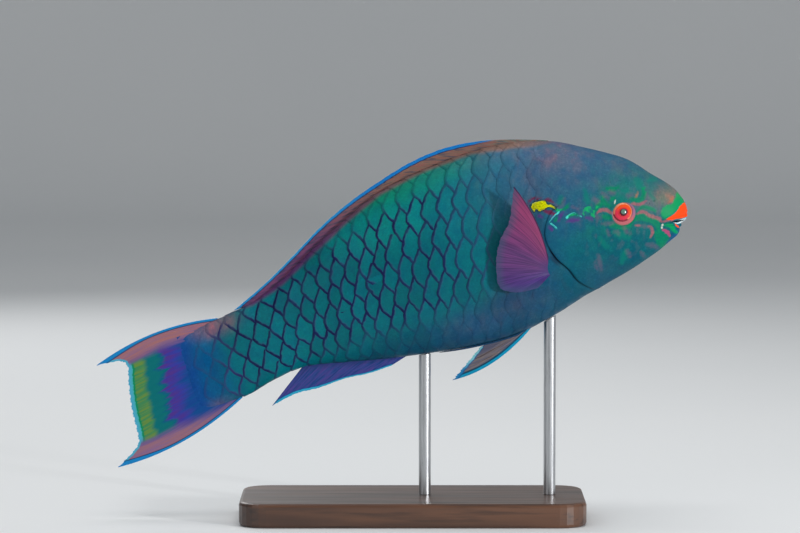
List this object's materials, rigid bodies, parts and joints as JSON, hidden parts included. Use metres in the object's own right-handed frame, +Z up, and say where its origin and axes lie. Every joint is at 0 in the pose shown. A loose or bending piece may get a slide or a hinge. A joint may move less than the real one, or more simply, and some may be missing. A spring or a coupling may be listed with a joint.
{
  "type": "parrotfish model",
  "caption": "Life-size still parrotfish, nose up, with head, trunk, tail base, eyes, beak, gill covers and ribbed fins, held on rods over a flat display base.",
  "frame": {"origin": "centre of the underside of the display base's footprint box, on the floor", "axes": "+X from the tail towards the head, along the longest extent; +Y to the fish's left, the thinnest extent; +Z up"},
  "size_m": [0.3446, 0.092, 0.2208],
  "materials": {
    "scaled_skin": "wet-looking scales, teal with violet rims",
    "head_skin": "smooth wet-looking skin, slate blue and teal with green and pink lines",
    "eye": "polished, red-orange ring round a dark pupil",
    "beak": "smooth pale blue-white enamel",
    "dorsal_fin": "satin orange-brown membrane with a blue edge",
    "fin_violet": "satin violet-blue membrane with a cyan edge",
    "fin_plum": "satin plum membrane",
    "stand_wood": "satin dark wood",
    "stand_steel": "brushed"
  },
  "bodies": {
    "root": {"head": "head_skin", "trunk": "scaled_skin", "peduncle": "scaled_skin", "gill_cover_right": "head_skin", "gill_cover_left": "head_skin", "eye_right": "eye", "eye_left": "eye", "beak_upper": "beak", "beak_lower": "beak", "dorsal_fin": "dorsal_fin", "anal_fin": "fin_violet", "caudal_fin_upper": "fin_violet", "caudal_fin_lower": "fin_violet", "pectoral_fin_right": "fin_plum", "pectoral_fin_left": "fin_plum", "pelvic_fin_right": "dorsal_fin", "pelvic_fin_left": "dorsal_fin", "stand_base": "stand_wood", "stand_rod_front": "stand_steel", "stand_rod_rear": "stand_steel"}
  },
  "joints": []
}
